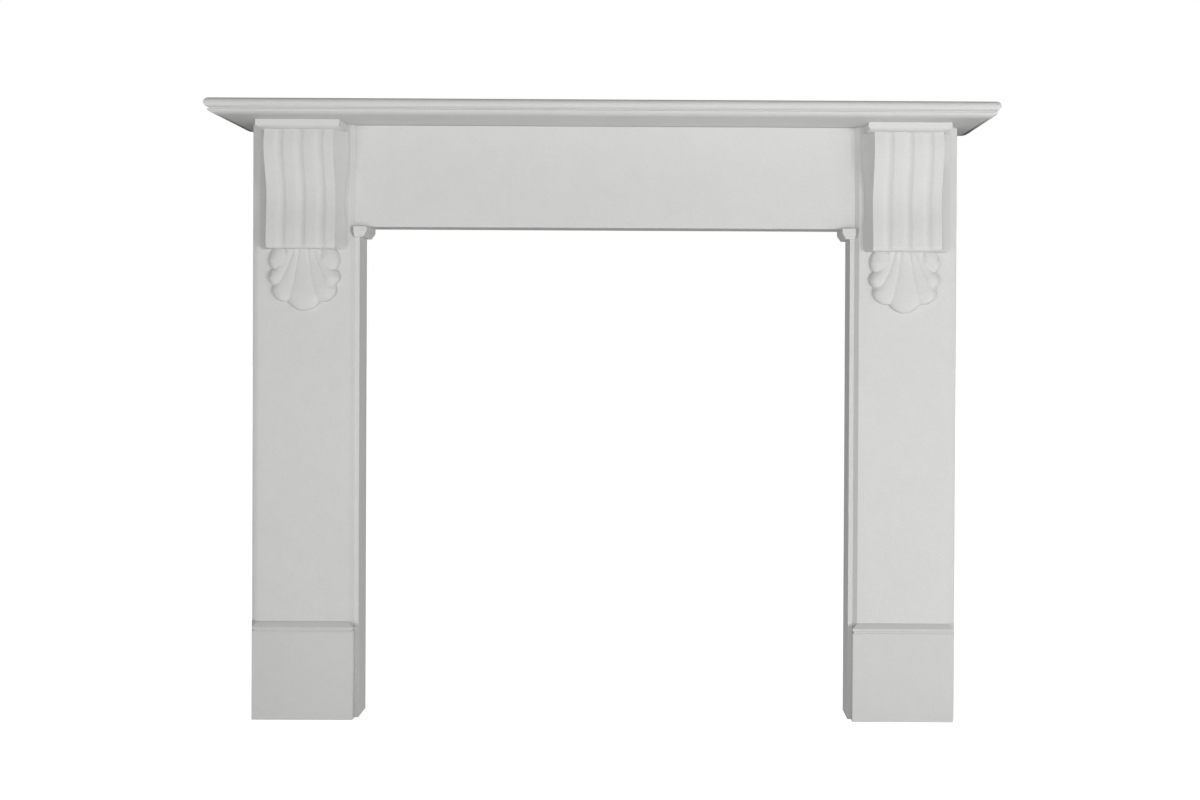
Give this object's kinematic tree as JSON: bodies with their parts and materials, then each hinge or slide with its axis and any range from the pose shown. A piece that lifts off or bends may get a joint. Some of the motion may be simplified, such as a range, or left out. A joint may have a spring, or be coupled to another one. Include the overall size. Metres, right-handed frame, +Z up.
{
  "type": "fireplace mantelpiece",
  "caption": "Pale stone mantelpiece for a fireplace: a moulded shelf on plain chamfered legs, with fluted scroll corbels ending in carved shells.",
  "frame": {"origin": "on the floor, halfway across the shelf and halfway through its depth", "axes": "+X across the front to the viewer's right, -Y out into the room, +Y into the wall, +Z up"},
  "size_m": [1.524, 0.229, 1.225],
  "materials": {
    "stone": "honed, matt, with fine dark specks"
  },
  "bodies": {
    "root": {"shelf": "stone", "frieze": "stone", "left_jamb": "stone", "left_inner_slip": "stone", "left_foot_block": "stone", "left_corbel": "stone", "right_jamb": "stone", "right_inner_slip": "stone", "right_foot_block": "stone", "right_corbel": "stone"}
  },
  "joints": []
}
